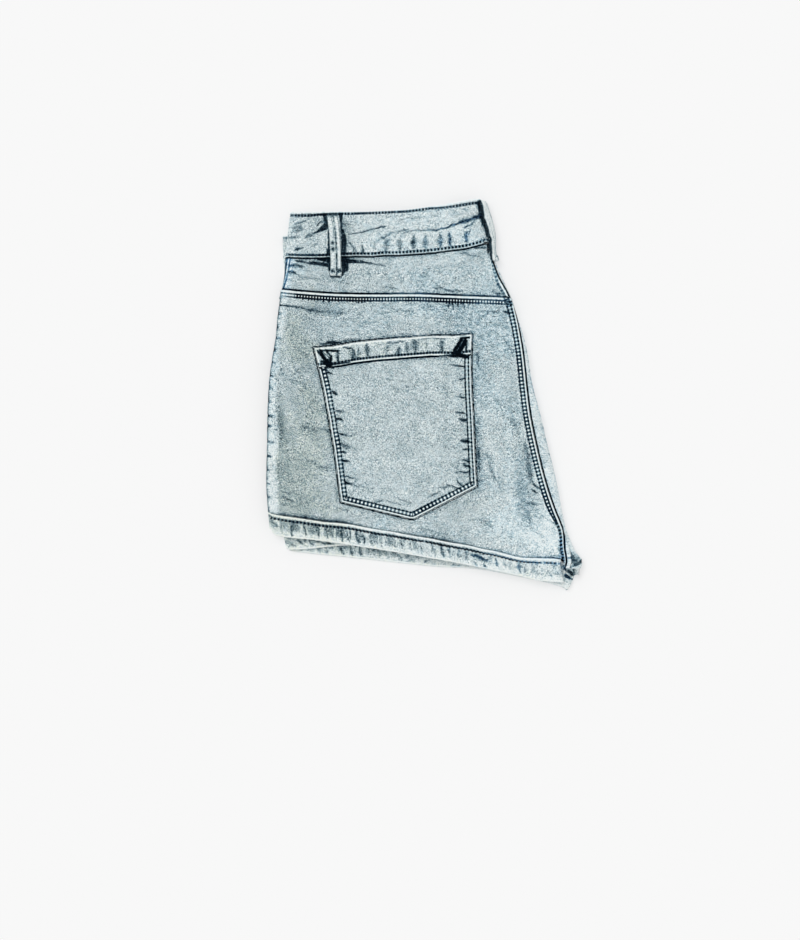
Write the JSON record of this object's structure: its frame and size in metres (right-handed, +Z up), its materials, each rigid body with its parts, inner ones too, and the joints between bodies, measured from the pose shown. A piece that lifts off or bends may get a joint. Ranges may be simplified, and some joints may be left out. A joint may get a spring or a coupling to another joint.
{
  "type": "folded denim shorts",
  "caption": "Light acid-washed denim shorts folded in half lengthwise and laid flat, back pocket up, with waistband, belt loops, yoke and turned leg hems.",
  "frame": {"origin": "middle of the footprint of the folded shorts, on the surface they lie on", "axes": "+Z up from the surface, +Y towards the waist, +X towards the centre-back fold, so the side seams are at -X"},
  "size_m": [0.2851, 0.3525, 0.0155],
  "materials": {
    "denim": "matte",
    "thread": "matte"
  },
  "bodies": {
    "root": {"waistband": "denim", "yoke_left": "denim", "yoke_right": "denim", "back_left": "denim", "back_right": "denim", "pocket_left": "denim", "belt_loop_left": "denim", "belt_loop_centre": "denim", "hem_left": "denim", "hem_right": "denim", "hidden_layers": "denim"}
  },
  "joints": []
}
